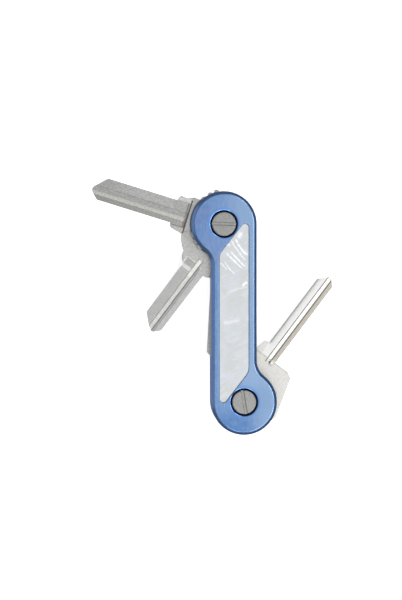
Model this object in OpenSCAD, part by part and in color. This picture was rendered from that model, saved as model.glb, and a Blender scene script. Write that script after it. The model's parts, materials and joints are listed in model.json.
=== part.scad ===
/* [Frame] */
// Distance between the two posts along the bar
post_rise = 68.8; // [66:0.2:72]
// Sideways offset between the two posts
post_shift = 7.8; // [6:0.2:9]
// Radius of the round lobe at each end of a plate
lobe_r = 12.7; // [12:0.1:14]
// Radius of the hollow where a lobe meets the bar
web_r = 7.7; // [6:0.1:9]
// Thickness of each plate
plate_t = 2.8; // [2.4:0.1:4]
// Width of the chamfer round the outer edges of each plate
edge_c = 0.9; // [0.3:0.1:1]

/* [Inlay] */
// Width of the inlay across the bar
inlay_w = 11.36; // [9:0.02:12]
// Thickness of the inlay and depth of its pocket
inlay_t = 1.2; // [0.8:0.1:1.6]
// Angle of the slanted ends, from the bar's short direction
slant_angle = 52.4; // [48:0.2:58]
// Metal left between an inlay slant and the screw recess
slant_wall = 0.44; // [0.3:0.02:0.8]
// Rounding of the inlay's two pointed tips
tip_r = 1.5; // [1:0.1:1.8]
// Rounding of the inlay's two blunt corners
blunt_r = 5; // [3:0.5:5]
// Gap round the inlay
inlay_gap = 0.08; // [0.05:0.01:0.15]

/* [Posts and screws] */
// Radius of each post, which the keys turn on
post_r = 2.5; // [2.3:0.05:2.8]
// Radial clearance between a post and what sits on it
post_fit = 0.06; // [0.03:0.01:0.1]
// Radius of the flat screw and post heads
head_r = 4.63; // [4.4:0.01:4.8]
// Thickness of the heads
head_t = 1.4; // [1.2:0.1:1.6]
// Radius of the recess round each head
recess_r = 5.32; // [5.1:0.01:5.5]
// Width of the slot in each head
slot_w = 1.4; // [1:0.1:1.6]
// Depth of the slot in each head
slot_d = 0.7; // [0.5:0.1:0.8]
// Radius of the screw thread
thread_r = 1.5; // [1.25:0.25:1.5]
// Turn of the upper screw's slot
upper_slot_turn = -2; // [-90:1:90]
// Turn of the lower screw's slot
lower_slot_turn = 100; // [10:1:190]

/* [Stack] */
// Thickness of every key
key_t = 2; // [1.6:0.1:2.4]
// Thickness of the washers between the keys
washer_t = 0.3; // [0.2:0.05:0.5]
// Outer radius of washers and spacers
washer_r = 4.5; // [4:0.1:5]
// Play on each side of a key
play = 0.03; // [0.02:0.01:0.06]

/* [Keys] */
// Direction of the upper left key at rest
upper_key_turn = 162.8; // [110:0.1:200]
// Direction of the lower left key at rest
lower_key_turn = 233; // [205:1:255]
// Direction of the folded key at rest
folded_key_turn = 266.8; // [262:0.1:270]
// Extra length of the folded key's blade over the lower left key's
folded_extra = 4.9; // [0:0.1:6]
// Direction of the key on the lower post at rest
right_key_turn = 53; // [30:0.1:80]
// Depth of the recessed panel in each key's bow
panel_d = 0.12; // [0.08:0.02:0.2]

/* [Hidden] */
$fn = 72;
eps = 0.01;
upper_washers = ["upper_washer_1", "upper_washer_2", "upper_washer_3", "upper_washer_4", "upper_washer_5"];
lower_washers = ["lower_washer_1", "lower_washer_2", "lower_washer_3", "lower_washer_4", "lower_washer_5"];
lower_spacers = ["lower_spacer_1", "lower_spacer_3", "lower_spacer_4"];

// Frame, worked out from the driving sizes
bar_half = lobe_r - post_shift / 2;
upper_at = [-post_shift / 2, post_rise / 2];
lower_at = -upper_at;
web_drop = sqrt(pow(lobe_r + web_r, 2) - pow(bar_half + web_r - post_shift / 2, 2));
web_at = [-bar_half - web_r, post_rise / 2 - web_drop];
inner_c = 0.3;
rim_c = 0.25;
head_c = 0.2;

// Stack, from the rear face up
pitch = key_t + washer_t + 2 * play;
stack_t = 4 * pitch + washer_t;
front_z = plate_t + stack_t;
total_t = front_z + plate_t;
hole_r = post_r + post_fit;
post_gap = 0.15;
bore_depth = 9;
thread_len = 7;
thread_fit = 0.05;

// Inlay, worked out from the posts so that its slants clear the recesses
slant_out = [-sin(slant_angle), cos(slant_angle)];
slant_reach = slant_out * upper_at - recess_r - slant_wall;
tip_x = inlay_w / 2 - tip_r;
blunt_x = blunt_r - inlay_w / 2;
tip_at = [tip_x, (slant_reach - tip_r - slant_out[0] * tip_x) / slant_out[1]];
blunt_at = [blunt_x, (slant_reach - blunt_r - slant_out[0] * blunt_x) / slant_out[1]];

module at_both_posts() {
    translate(upper_at) children();
    translate(lower_at) children();
}

// A plate's outline with its edges chamfered: inner face at z = 0, outer face at z = plate_t
module plate_body() {
    for (at = [upper_at, lower_at])
        translate(at) rotate_extrude() polygon([
            [0, 0], [lobe_r - inner_c, 0], [lobe_r, inner_c],
            [lobe_r, plate_t - edge_c], [lobe_r - edge_c, plate_t], [0, plate_t]
        ]);
    translate([0, post_rise / 2, 0]) rotate([90, 0, 0]) linear_extrude(post_rise) polygon([
        [inner_c - bar_half, 0], [-bar_half, inner_c],
        [-bar_half, plate_t - edge_c], [edge_c - bar_half, plate_t],
        [bar_half - edge_c, plate_t], [bar_half, plate_t - edge_c],
        [bar_half, inner_c], [bar_half - inner_c, 0]
    ]);
    for (turn = [0, 180])
        rotate(turn) plate_web();
}

// The filled corner between the upper lobe and the bar, hollowed by a round of web_r
module plate_web() {
    difference() {
        linear_extrude(plate_t) polygon([upper_at, web_at, [-bar_half, web_at[1]], [0, web_at[1]]]);
        translate(web_at) rotate_extrude() polygon([
            [0, -1], [web_r + inner_c, -1], [web_r + inner_c, 0], [web_r, inner_c],
            [web_r, plate_t - edge_c], [web_r + edge_c, plate_t],
            [web_r + edge_c, plate_t + 1], [0, plate_t + 1]
        ]);
    }
}

// The post hole with its head recess, cut from a plate whose outer face is at z = plate_t
module post_hole() {
    translate([0, 0, -1]) cylinder(h = plate_t + 2, r = hole_r);
    translate([0, 0, plate_t - head_t]) cylinder(h = head_t + 1, r = recess_r);
    translate([0, 0, plate_t - rim_c]) cylinder(h = rim_c + eps, r1 = recess_r, r2 = recess_r + rim_c + eps);
}

module inlay_outline(grow) {
    tip_reach = tip_r + grow;
    blunt_reach = blunt_r + grow;
    half = [
        tip_at + tip_reach * [1, 0],
        tip_at + tip_reach * slant_out,
        blunt_at + blunt_reach * slant_out,
        blunt_at + blunt_reach * [-1, 0]
    ];
    polygon(concat(half, -half));
    for (turn = [0, 180])
        rotate(turn) {
            translate(tip_at) circle(tip_reach);
            translate(blunt_at) circle(blunt_reach);
        }
}

module front_plate() {
    color("steelblue") translate([0, 0, front_z]) difference() {
        plate_body();
        at_both_posts() post_hole();
        translate([0, 0, plate_t - inlay_t]) linear_extrude(inlay_t + 1) inlay_outline(inlay_gap);
    }
}

module rear_plate() {
    color("steelblue") translate([0, 0, plate_t]) mirror([0, 0, 1]) difference() {
        plate_body();
        at_both_posts() post_hole();
    }
}

module pearl_inlay() {
    color("gainsboro") translate([0, 0, total_t - inlay_t]) linear_extrude(inlay_t) inlay_outline(0);
}

// A flat slotted head with its outer face at z = head_t
module slotted_head(slot_turn) {
    difference() {
        union() {
            cylinder(h = head_t - head_c, r = head_r);
            translate([0, 0, head_t - head_c]) cylinder(h = head_c, r1 = head_r, r2 = head_r - head_c);
        }
        rotate(slot_turn) translate([-head_r - 1, -slot_w / 2, head_t - slot_d]) cube([2 * head_r + 2, slot_w, 1]);
    }
}

module screw(slot_turn) {
    color("darkgray") translate([0, 0, total_t - head_t]) {
        slotted_head(slot_turn);
        translate([0, 0, -thread_len]) cylinder(h = thread_len + eps, r = thread_r);
    }
}

module post(slot_turn) {
    post_top = total_t - head_t - post_gap;
    color("darkgray") difference() {
        union() {
            translate([0, 0, head_t]) mirror([0, 0, 1]) slotted_head(slot_turn);
            translate([0, 0, head_t - eps]) cylinder(h = post_top - head_t + eps, r = post_r);
        }
        translate([0, 0, post_top - bore_depth]) cylinder(h = bore_depth + 1, r = thread_r + thread_fit);
    }
}

// Ring on a post; level 1 is the one nearest the rear plate
module ring(level, above, height) {
    color("goldenrod") translate([0, 0, plate_t + (level - 1) * pitch + above]) difference() {
        cylinder(h = height, r = washer_r);
        translate([0, 0, -1]) cylinder(h = height + 2, r = hole_r);
    }
}

module washer(level) {
    ring(level, 0, washer_t);
}

module spacer(level) {
    ring(level, washer_t, pitch - washer_t);
}

// A prism along a key, from one distance to another, with its section given as [across, height]
module along(start, finish, section) {
    translate([start, 0, 0]) rotate([90, 0, 90]) linear_extrude(finish - start) polygon(section);
}

// Puts a key on a post in one level of the stack; its children are its blank and its cuts
module key_on_post(at, turn, level) {
    translate(concat(at, plate_t + (level - 1) * pitch + washer_t + play)) rotate(turn) difference() {
        children(0);
        translate([0, 0, -1]) cylinder(h = key_t + 2, r = hole_r);
        children(1);
    }
}

// Keys run out along +X from the post hole; the first edge given is the right-hand one
module upper_key_blank() {
    linear_extrude(key_t) polygon([
        [47.9, -3.65], [19.8, -3.65], [19.2, -5.3], [18.6, -5.6], [16.2, -5.4], [13.6, -6.6],
        [11.7, -6.5], [8, -8], [8, 8], [12.2, 6.2], [13.2, 7.2], [14.4, 8.3], [18.5, 7.4],
        [19.6, 6.9], [20, 5.9], [20, 5.45], [49.8, 5.45], [52.4, 2.9], [52.8, 1.8], [52.3, 0.8]
    ]);
    translate([2.6, -1.6, 0]) cylinder(h = key_t, r = 10.4);
    translate([2.6, 1.6, 0]) cylinder(h = key_t, r = 9.6);
    for (lump = [[10, -6.9], [8.1, -9.2], [6.2, -10.9]])
        translate(lump) cylinder(h = key_t, r = 1.2);
}

module upper_key_cuts() {
    translate([6.5, -6, key_t - panel_d]) cube([7.7, 16, 1]);
    along(14.5, 60, [
        [-3.7, 3], [-3.7, 1.75], [0.1, 1.75], [0.1, 1.55], [2.2, 1.35], [3.5, 1.1], [5.9, 1.6], [5.9, 3]
    ]);
    along(14.5, 60, [
        [-3.7, -1], [-3.7, 0.5], [-1.8, 0.25], [-1, 0.8], [0.6, 0.8], [0.8, 0.2], [5.5, 0.2], [5.5, -1]
    ]);
}

module lower_key_blank(extra) {
    linear_extrude(key_t) polygon([
        [45.1 + extra, -3.5], [21.5, -3.5], [20.1, -5.1], [18.8, -5.9], [17.4, -6.2], [15.8, -8.2], [10, -9],
        [10, 9], [16, 7.9], [20.1, 7.8], [20.8, 5.55], [47.5 + extra, 5.5], [49.8 + extra, 3.3],
        [50 + extra, 2.5], [49.1 + extra, 0.8]
    ]);
    translate([6.5, 0, 0]) cylinder(h = key_t, r = 12.5);
}

module lower_key_cuts() {
    translate([6.5, -7.8, key_t - panel_d]) cube([6.4, 15.6, 1]);
    along(18, 60, [[-3.6, 3], [-3.6, 1.55], [0.6, 1.55], [0.6, 3]]);
    along(15.3, 60, [[0.5, 3], [0.5, 1.55], [0.9, 0.85], [2.5, 0.85], [2.7, 1.15], [3.7, 2], [3.7, 3]]);
    along(18, 60, [[-2.6, -1], [-2.6, 0], [-2.2, 0.7], [-0.6, 0.7], [-0.2, 0], [-0.2, -1]]);
}

module right_key_blank() {
    linear_extrude(key_t) polygon([
        [54.5, -3.35], [25, -3.35], [25.2, -5], [24.4, -6], [19.4, -7], [18.9, -8.9], [18.2, -9.5], [2.7, -14],
        [-0.5, -13.1], [-6, -8.6], [-7.6, -4], [-7.6, 4], [-6, 8], [-0.4, 12.6], [2.3, 13.4], [18.2, 9.5],
        [18.9, 8.9], [19.7, 8.3], [24, 7.4], [24.4, 5.5], [55.6, 5.5], [58.9, 2.4], [59.1, 1.6], [58.6, 0.7]
    ]);
}

module right_key_cuts() {
    translate([6.5, -9.2, key_t - panel_d]) cube([4.4, 18.4, 1]);
    along(19.2, 60, [[-12, 3], [-12, 1.85], [12, 1.85], [12, 3]]);
    along(17.5, 60, [[-0.95, 3], [-0.95, 1.85], [-0.8, 0.9], [0.6, 0.9], [0.9, 1.1], [2.2, 1.75], [2.4, 3]]);
    along(19.2, 60, [[2.8, -1], [2.8, 0], [3.2, 0.7], [4.6, 0.7], [5, 0], [5, -1]]);
}

module key_upper() {
    color("silver") key_on_post(upper_at, upper_key_turn, 4) {
        upper_key_blank();
        upper_key_cuts();
    }
}

module key_lower() {
    color("silver") key_on_post(upper_at, lower_key_turn, 3) {
        lower_key_blank(0);
        lower_key_cuts();
    }
}

module key_folded() {
    color("silver") key_on_post(upper_at, folded_key_turn, 1) {
        lower_key_blank(folded_extra);
        lower_key_cuts();
    }
}

module key_right() {
    color("silver") key_on_post(lower_at, right_key_turn, 2) {
        right_key_blank();
        right_key_cuts();
    }
}

front_plate();
rear_plate();
pearl_inlay();
translate(upper_at) screw(upper_slot_turn);  // upper_screw
translate(lower_at) screw(lower_slot_turn);  // lower_screw
translate(upper_at) post(lower_slot_turn);  // upper_post
translate(lower_at) post(upper_slot_turn);  // lower_post
for (level = [1 : 5]) {
    translate(upper_at) washer(level);
    translate(lower_at) washer(level);
}
translate(upper_at) spacer(2);  // upper_spacer_2
for (level = [1, 3, 4])
    translate(lower_at) spacer(level);
key_upper();
key_lower();
key_folded();
key_right();
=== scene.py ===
"""Key organiser: two anodised S-shaped plates on slotted posts, a pearl inlay and four swinging keys."""

import json
import logging
import math
from collections.abc import Callable, Sequence
from dataclasses import dataclass
from enum import Enum

import bmesh
import bpy
from mathutils import Matrix, Vector
from mathutils.geometry import tessellate_polygon


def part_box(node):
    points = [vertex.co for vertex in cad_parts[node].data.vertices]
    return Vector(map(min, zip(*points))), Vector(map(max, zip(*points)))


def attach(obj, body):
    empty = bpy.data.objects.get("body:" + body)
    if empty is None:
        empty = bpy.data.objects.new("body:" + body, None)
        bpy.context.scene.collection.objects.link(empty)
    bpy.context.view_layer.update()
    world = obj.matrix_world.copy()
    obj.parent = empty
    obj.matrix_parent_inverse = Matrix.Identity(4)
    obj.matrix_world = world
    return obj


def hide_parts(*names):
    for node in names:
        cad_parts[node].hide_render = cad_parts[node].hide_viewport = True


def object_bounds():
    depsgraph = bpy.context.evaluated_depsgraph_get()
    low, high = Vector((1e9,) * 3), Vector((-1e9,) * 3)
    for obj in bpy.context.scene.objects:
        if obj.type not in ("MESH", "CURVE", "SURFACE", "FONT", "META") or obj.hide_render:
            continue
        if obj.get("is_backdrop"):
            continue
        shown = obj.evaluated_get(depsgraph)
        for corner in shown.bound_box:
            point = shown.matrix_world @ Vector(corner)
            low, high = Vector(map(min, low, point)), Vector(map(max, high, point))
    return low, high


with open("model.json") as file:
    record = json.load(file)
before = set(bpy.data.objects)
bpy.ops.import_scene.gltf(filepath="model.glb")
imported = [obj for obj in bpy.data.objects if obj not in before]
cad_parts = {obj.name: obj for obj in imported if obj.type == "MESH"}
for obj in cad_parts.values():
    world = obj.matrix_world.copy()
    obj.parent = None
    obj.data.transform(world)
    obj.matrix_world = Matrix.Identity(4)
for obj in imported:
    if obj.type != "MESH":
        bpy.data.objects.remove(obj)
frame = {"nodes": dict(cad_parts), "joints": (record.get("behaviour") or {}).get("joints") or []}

LOG = logging.getLogger("key_organiser")
MM = 0.001
LOCAL = "local"
WELD = 1e-5
TINY = 1e-6
NEARLY_STRAIGHT = 0.02
LEVEL = 0.9995
CREASE = 20.0

Point = tuple[float, float]
Corner = tuple[float, float, float]
Outline = list[Point]
Colour = tuple[float, float, float]
Ring = list[bmesh.types.BMVert]
Mesh = bpy.types.Mesh
Socket = bpy.types.NodeSocket


# ---------------------------------------------------------------- outlines


def arc(centre: Point, radius: float, start: float, end: float, step: float = 3.0) -> Outline:
    """Points along an arc, both ends included.

    Args:
        centre: Centre of the arc, in millimetres.
        radius: Radius in millimetres.
        start: First angle in degrees.
        end: Last angle in degrees; below start runs clockwise.
        step: Degrees between points, nearly.

    Returns:
        The points in order.
    """
    count = max(2, round(abs(end - start) / step))
    angles = [math.radians(start + (end - start) * i / count) for i in range(count + 1)]
    return [(centre[0] + radius * math.cos(a), centre[1] + radius * math.sin(a)) for a in angles]


def circle_at(centre: Point, step: float = 4.0) -> Callable[[float], Outline]:
    """Returns a function from a radius to the circle of that radius round a centre."""
    return lambda radius: arc(centre, radius, 0, 360, step)[:-1]


def rounded(corners: Sequence[Corner], closed: bool = True, step: float = 12.0) -> Outline:
    """Joins corners by straight lines and rounds each one.

    Args:
        corners: Each corner as across, along and its rounding radius, in millimetres.
        closed: Whether the last corner joins the first.
        step: Degrees turned between the points of a rounding, nearly.

    Returns:
        The rounded outline or path.
    """
    points: Outline = []
    total = len(corners)
    for index, (x, y, radius) in enumerate(corners):
        here = Vector((x, y))
        before = Vector(corners[index - 1][:2]) - here
        after = Vector(corners[(index + 1) % total][:2]) - here
        at_end = not closed and index in (0, total - 1)
        if at_end or radius <= 0 or min(before.length, after.length) < TINY:
            points.append((x, y))
            continue
        opening = before.angle(after)
        if math.pi - opening < NEARLY_STRAIGHT:
            points.append((x, y))
            continue
        reach = min(radius / math.tan(opening / 2), 0.49 * before.length, 0.49 * after.length)
        size = reach * math.tan(opening / 2)
        first = here + before.normalized() * reach
        last = here + after.normalized() * reach
        middle = here + (before.normalized() + after.normalized()).normalized() * size / math.sin(opening / 2)
        start = math.degrees(math.atan2(first.y - middle.y, first.x - middle.x))
        turn = math.degrees(math.atan2(last.y - middle.y, last.x - middle.x)) - start
        turn = (turn + 180) % 360 - 180
        points += arc((middle.x, middle.y), size, start, start + turn, min(step, abs(turn) / 2))
    return points


def sharp(points: Sequence[Point]) -> list[Corner]:
    """Returns points as corners with no rounding."""
    return [(x, y, 0.0) for x, y in points]


def with_twin(side: Outline) -> Outline:
    """Returns half an outline followed by the same half turned by 180 degrees."""
    return side + [(-x, -y) for x, y in side]


def anticlockwise(outline: Outline) -> Outline:
    """Returns the outline running anticlockwise."""
    doubled = sum(a[0] * b[1] - b[0] * a[1] for a, b in zip(outline, outline[1:] + outline[:1]))
    return outline if doubled > 0 else outline[::-1]


def inset(outline: Outline, amount: float) -> Outline:
    """Moves an anticlockwise outline inwards.

    Args:
        outline: Closed outline.
        amount: Distance in millimetres; below zero moves it outwards.

    Returns:
        The moved outline, with as many points.
    """
    moved: Outline = []
    for index, (x, y) in enumerate(outline):
        before = Vector(outline[index - 1])
        after = Vector(outline[(index + 1) % len(outline)])
        here = Vector((x, y))
        into = (here - before).normalized()
        out = (after - here).normalized()
        normals = (Vector((-into.y, into.x)), Vector((-out.y, out.x)))
        middle = (normals[0] + normals[1]).normalized()
        stretch = amount / max(0.4, middle.dot(normals[0]))
        moved.append((x + middle.x * stretch, y + middle.y * stretch))
    return moved


# ---------------------------------------------------------------- meshes


class Shell:
    """One closed mesh under construction, in millimetres."""

    def __init__(self) -> None:
        """Starts with no points."""
        self.work = bmesh.new()

    def loop(self, points: Sequence[Sequence[float]]) -> Ring:
        """Returns new vertices at the given places."""
        return [self.work.verts.new(point) for point in points]

    def ring(self, outline: Outline, height: float) -> Ring:
        """Returns new vertices along an outline at one height."""
        return self.loop([(x, y, height) for x, y in outline])

    def bridge(self, first: Ring, second: Ring) -> None:
        """Joins two rings of equal length with four-sided faces."""
        count = len(first)
        for i in range(count):
            j = (i + 1) % count
            self.work.faces.new((first[i], first[j], second[j], second[i]))

    def sweep(
        self, outline_at: Callable[[float], Outline], profile: Sequence[Point]
    ) -> tuple[Ring, Ring]:
        """Runs a wall along an outline that changes with height.

        Args:
            outline_at: Gives the outline for an inset or a radius.
            profile: Inset or radius, and height, of each ring.

        Returns:
            The first ring and the last ring.
        """
        rings = [self.ring(outline_at(size), height) for size, height in profile]
        for first, second in zip(rings, rings[1:]):
            self.bridge(first, second)
        return rings[0], rings[-1]

    def loft(self, rings: Sequence[Sequence[Sequence[float]]]) -> None:
        """Joins rings of points, equal in number, into a closed solid."""
        loops = [self.loop(ring) for ring in rings]
        for first, second in zip(loops, loops[1:]):
            self.bridge(first, second)
        self.work.faces.new(loops[0])
        self.work.faces.new(loops[-1])

    def cap(self, outer: Ring, *holes: Ring) -> None:
        """Fills a flat face inside one ring and outside others."""
        rings = (outer, *holes)
        flat = [vertex for ring in rings for vertex in ring]
        for triangle in tessellate_polygon([[vertex.co.copy() for vertex in ring] for ring in rings]):
            self.work.faces.new([flat[i] for i in triangle])

    def mesh(self, name: str) -> Mesh:
        """Returns the finished mesh, welded and with its faces turned outwards."""
        bmesh.ops.remove_doubles(self.work, verts=self.work.verts, dist=WELD)
        bmesh.ops.recalc_face_normals(self.work, faces=self.work.faces)
        mesh = bpy.data.meshes.new(name)
        self.work.to_mesh(mesh)
        self.work.free()
        return mesh


def softened(profile: Sequence[Corner]) -> list[Point]:
    """Returns an open wall profile with its corners rounded."""
    return rounded(profile, closed=False, step=11.0)


def turned(name: str, profile: Sequence[Corner], closed: bool, step: float = 4.0) -> Mesh:
    """Turns a profile about the vertical axis, as a lathe does.

    Args:
        name: Name of the mesh.
        profile: Radius, height and rounding of each corner, in millimetres.
        closed: Whether the profile is a ring's section. If not, its ends are capped.
        step: Degrees between the points of each circle.

    Returns:
        The mesh, in millimetres.
    """
    shell = Shell()
    if closed:
        points = rounded(profile, step=15.0)
        shell.sweep(circle_at((0, 0), step), points + points[:1])
    else:
        bottom, top = shell.sweep(circle_at((0, 0), step), softened(profile))
        shell.cap(bottom)
        shell.cap(top)
    return shell.mesh(name)


def evaluated(holder: bpy.types.Object) -> Mesh:
    """Returns the mesh of an object with its modifiers applied, and removes the object."""
    bpy.context.view_layer.update()
    graph = bpy.context.evaluated_depsgraph_get()
    mesh = bpy.data.meshes.new_from_object(holder.evaluated_get(graph))
    mesh.name = holder.data.name
    bpy.data.objects.remove(holder)
    return mesh


def holder_of(mesh: Mesh) -> bpy.types.Object:
    """Returns a new scene object that holds a mesh."""
    holder = bpy.data.objects.new(mesh.name, mesh)
    bpy.context.scene.collection.objects.link(holder)
    return holder


def carved(body: Mesh, cutters: Sequence[Mesh]) -> Mesh:
    """Cuts closed meshes out of a closed mesh.

    Args:
        body: What is cut.
        cutters: What is taken away, one after another.

    Returns:
        The cut mesh.
    """
    holder = holder_of(body)
    tools = [holder_of(cutter) for cutter in cutters]
    for tool in tools:
        cut = holder.modifiers.new("cut", "BOOLEAN")
        cut.operation = "DIFFERENCE"
        cut.solver = "EXACT"
        cut.object = tool
    mesh = evaluated(holder)
    for tool in tools:
        bpy.data.objects.remove(tool)
    return mesh


# ---------------------------------------------------------------- finishes


class Graph:
    """The nodes of one material, wired by short calls. Lengths in its textures are millimetres."""

    def __init__(self, name: str) -> None:
        """Makes the material with its surface shader."""
        self.material = bpy.data.materials.new(name)
        self.material.use_nodes = True
        self.tree = self.material.node_tree
        self.shader = self.tree.nodes["Principled BSDF"]

    def feed(self, socket: Socket, value: object) -> None:
        """Wires a socket to another node's output, or sets it to a value."""
        if isinstance(value, Socket):
            self.tree.links.new(value, socket)
        elif socket.type == "RGBA":
            socket.default_value = (*value, 1.0)
        else:
            socket.default_value = value

    def add(self, kind: str, inputs: dict[str | int, object] | None = None) -> bpy.types.Node:
        """Adds a node.

        Args:
            kind: Blender's name for the node type.
            inputs: Sockets by name or number, each with a value or another node's output.

        Returns:
            The node.
        """
        node = self.tree.nodes.new(kind)
        for key, value in (inputs or {}).items():
            self.feed(node.inputs[key], value)
        return node

    def surface(self, **values: object) -> None:
        """Sets or wires the surface shader's sockets, named with underscores for spaces."""
        for key, value in values.items():
            self.feed(self.shader.inputs[key.replace("_", " ").title().replace("Ior", "IOR")], value)

    def place(self, scale: Sequence[float] = (1, 1, 1), turn: float = 0.0) -> Socket:
        """Returns the piece's own coordinates in millimetres, turned in plan and then scaled.

        Args:
            scale: Scale along each axis.
            turn: Degrees turned about the piece's upright axis.

        Returns:
            A vector socket.
        """
        source = self.add("ShaderNodeAttribute")
        source.attribute_name = LOCAL
        inputs = {"Vector": source.outputs["Vector"], "Angle": math.radians(turn)}
        turned_by = self.add("ShaderNodeVectorRotate", inputs)
        mapping = self.add("ShaderNodeMapping", {"Vector": turned_by.outputs[0], "Scale": tuple(scale)})
        return mapping.outputs[0]

    def from_axis(self, x: float, y: float) -> Socket:
        """Returns the distance in plan from an upright line, in millimetres."""
        node = self.add("ShaderNodeVectorMath", {0: self.place((1, 1, 0)), 1: (x, y, 0)})
        node.operation = "DISTANCE"
        return node.outputs["Value"]

    def slope(self, level: float, steep: float) -> Socket:
        """Returns how steep the surface is, from 0 to 1 between two values of its normal's upright part."""
        normal = self.add("ShaderNodeNewGeometry").outputs["True Normal"]
        upright = self.add("ShaderNodeSeparateXYZ", {0: normal})
        return self.span(self.math("ABSOLUTE", upright.outputs["Z"]), level, steep)

    def axis(self, name: str) -> Socket:
        """Returns one of the piece's own coordinates, X, Y or Z, in millimetres."""
        return self.add("ShaderNodeSeparateXYZ", {0: self.place()}).outputs[name]

    def noise(
        self,
        scale: float,
        detail: float = 2.0,
        stretch: Sequence[float] = (1, 1, 1),
        turn: float = 0.0,
        distortion: float = 0.0,
    ) -> Socket:
        """Returns cloudy noise from 0 to 1.

        Args:
            scale: Features per millimetre, nearly.
            detail: Octaves of finer noise.
            stretch: Scale along each axis, to draw the noise out.
            turn: Degrees the pattern is turned in plan.
            distortion: How far the pattern is pulled about.

        Returns:
            A value socket.
        """
        inputs = {"Vector": self.place(stretch, turn), "Scale": scale, "Detail": detail}
        inputs["Distortion"] = distortion
        return self.add("ShaderNodeTexNoise", inputs).outputs[0]

    def math(self, operation: str, *values: object) -> Socket:
        """Returns the result of one arithmetic step."""
        node = self.add("ShaderNodeMath", dict(enumerate(values)))
        node.operation = operation
        return node.outputs[0]

    def times(self, first: object, *others: object) -> Socket:
        """Returns the product of two or more numbers."""
        for other in others:
            first = self.math("MULTIPLY", first, other)
        return first

    def span(self, value: object, low: float, high: float, to: Point = (0.0, 1.0)) -> Socket:
        """Returns a value's place between two limits, eased, as a number in the range given."""
        inputs = {"Value": value, "From Min": low, "From Max": high, "To Min": to[0], "To Max": to[1]}
        node = self.add("ShaderNodeMapRange", inputs)
        node.interpolation_type = "SMOOTHSTEP"
        return node.outputs[0]

    def blend(self, factor: object, first: object, second: object, mode: str = "MIX") -> Socket:
        """Returns a mix of two colours."""
        node = self.tree.nodes.new("ShaderNodeMix")
        node.data_type = "RGBA"
        node.blend_type = mode
        for index, value in ((0, factor), (6, first), (7, second)):
            self.feed(node.inputs[index], value)
        return node.outputs[2]

    def shaded(self, tone: object, shade: object) -> Socket:
        """Returns a colour made lighter or darker by a number near 1."""
        grey = self.add("ShaderNodeCombineXYZ", {0: shade, 1: shade, 2: shade}).outputs[0]
        return self.blend(1.0, tone, grey, mode="MULTIPLY")

    def bump(self, height: object, depth: float, under: object | None = None) -> Socket:
        """Returns a normal for a surface raised by a height from 0 to 1.

        Args:
            height: Height socket.
            depth: Millimetres that a height of 1 stands for.
            under: A normal that this relief lies on.

        Returns:
            A vector socket.
        """
        inputs = {"Height": height, "Distance": depth * MM, "Strength": 1.0}
        if under is not None:
            inputs["Normal"] = under
        return self.add("ShaderNodeBump", inputs).outputs[0]


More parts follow.
